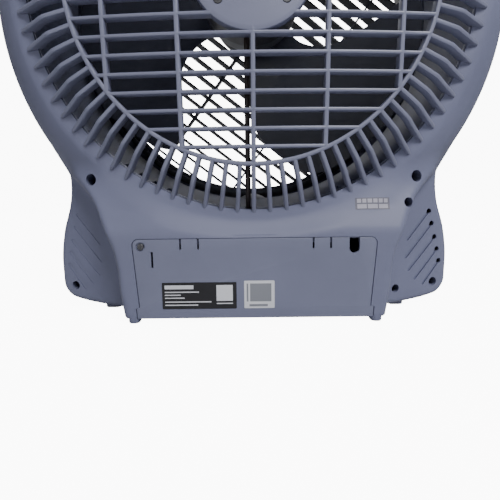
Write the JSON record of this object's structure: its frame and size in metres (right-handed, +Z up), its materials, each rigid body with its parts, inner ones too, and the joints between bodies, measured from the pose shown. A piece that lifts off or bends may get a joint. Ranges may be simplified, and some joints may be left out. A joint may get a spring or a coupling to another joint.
{
  "type": "box fan",
  "caption": "Floor box fan with a round blue-grey housing, domed rear grille, rotating front louvre, rear wiring compartment and carry handle.",
  "frame": {"origin": "middle of the footprint on the floor, below the fan axis", "axes": "+Z up, +Y to the rear (intake) side, -Y to the front (louvre) side, +X to the left when seen from behind"},
  "size_m": [0.439, 0.144, 0.532],
  "materials": {
    "housing": "fine matte grain",
    "grille": "satin",
    "cover": "fine matte grain",
    "blade": "semi gloss",
    "louvre": "satin",
    "control": "matte",
    "knob": "satin",
    "handle": "fine matte grain",
    "screw_steel": "zinc plated",
    "motor_steel": "satin",
    "core_steel": "laminated",
    "copper": "enamelled wire",
    "bronze": "sintered",
    "rubber": "matte",
    "lead": "matte",
    "black_label": "printed film",
    "white_label": "printed film",
    "date_label": "printed film",
    "switch": "satin",
    "terminal": "satin"
  },
  "bodies": {
    "housing": {"rear_shell": "housing", "rear_grille": "grille", "front_shell": "housing", "control_panel": "control", "speed_switch": "switch", "timer_unit": "motor_steel", "rocker_switch": "switch", "run_capacitor": "terminal", "terminal_block": "terminal", "compartment_cover": "cover", "cover_screw": "screw_steel", "housing_screws": "screw_steel", "rating_label": "black_label", "approval_label": "white_label", "date_sticker": "date_label", "motor_rear_bell": "motor_steel", "motor_front_bell": "motor_steel", "motor_screws": "screw_steel", "stator_core": "core_steel", "stator_windings": "copper", "motor_bearings": "bronze", "idler_pins": "screw_steel", "louvre_motor": "motor_steel", "louvre_motor_screws": "screw_steel", "carry_handle": "handle", "handle_screws": "screw_steel", "motor_lead": "lead"},
    "fan": {"fan_blade": "blade", "blade_nut": "knob", "motor_shaft": "screw_steel", "rotor_core": "core_steel"},
    "louvre": {"louvre_disc": "louvre", "louvre_cap": "louvre"},
    "drive_wheel": {"drive_roller": "rubber", "louvre_motor_shaft": "screw_steel"},
    "idler_a": {"idler_a_roller": "terminal"},
    "idler_b": {"idler_b_roller": "terminal"},
    "speed_control": {"speed_knob": "knob"},
    "timer_control": {"timer_knob": "knob"},
    "rocker": {"louvre_rocker": "knob"}
  },
  "joints": [
    {"name": "fan_spin", "type": "hinge", "parent": "housing", "child": "fan", "pos_m": [0, 0, 0.27], "axis": [0, 1, 0], "continuous": true},
    {"name": "louvre_spin", "type": "hinge", "parent": "housing", "child": "louvre", "pos_m": [0, -0.06, 0.27], "axis": [0, 1, 0], "continuous": true},
    {"name": "drive_wheel_spin", "type": "hinge", "parent": "housing", "child": "drive_wheel", "pos_m": [0, -0.05, 0.09765], "axis": [0, 1, 0], "continuous": true},
    {"name": "idler_a_spin", "type": "hinge", "parent": "housing", "child": "idler_a", "pos_m": [-0.14926, -0.05, 0.35618], "axis": [0, 1, 0], "continuous": true},
    {"name": "idler_b_spin", "type": "hinge", "parent": "housing", "child": "idler_b", "pos_m": [0.14926, -0.05, 0.35618], "axis": [0, 1, 0], "continuous": true},
    {"name": "speed_turn", "type": "hinge", "parent": "housing", "child": "speed_control", "pos_m": [-0.058, -0.06, 0.05], "axis": [0, 1, 0], "range_deg": [0, 135]},
    {"name": "timer_turn", "type": "hinge", "parent": "housing", "child": "timer_control", "pos_m": [0.058, -0.06, 0.05], "axis": [0, 1, 0], "range_deg": [0, 300]},
    {"name": "rocker_tip", "type": "hinge", "parent": "housing", "child": "rocker", "pos_m": [0, -0.054, 0.05], "axis": [-1, 0, 0], "range_deg": [0, 12]}
  ],
  "couplings": [
    {"joint": "drive_wheel_spin", "follows": "louvre_spin", "ratio": -18.111},
    {"joint": "idler_a_spin", "follows": "louvre_spin", "ratio": -18.111},
    {"joint": "idler_b_spin", "follows": "louvre_spin", "ratio": -18.111}
  ]
}
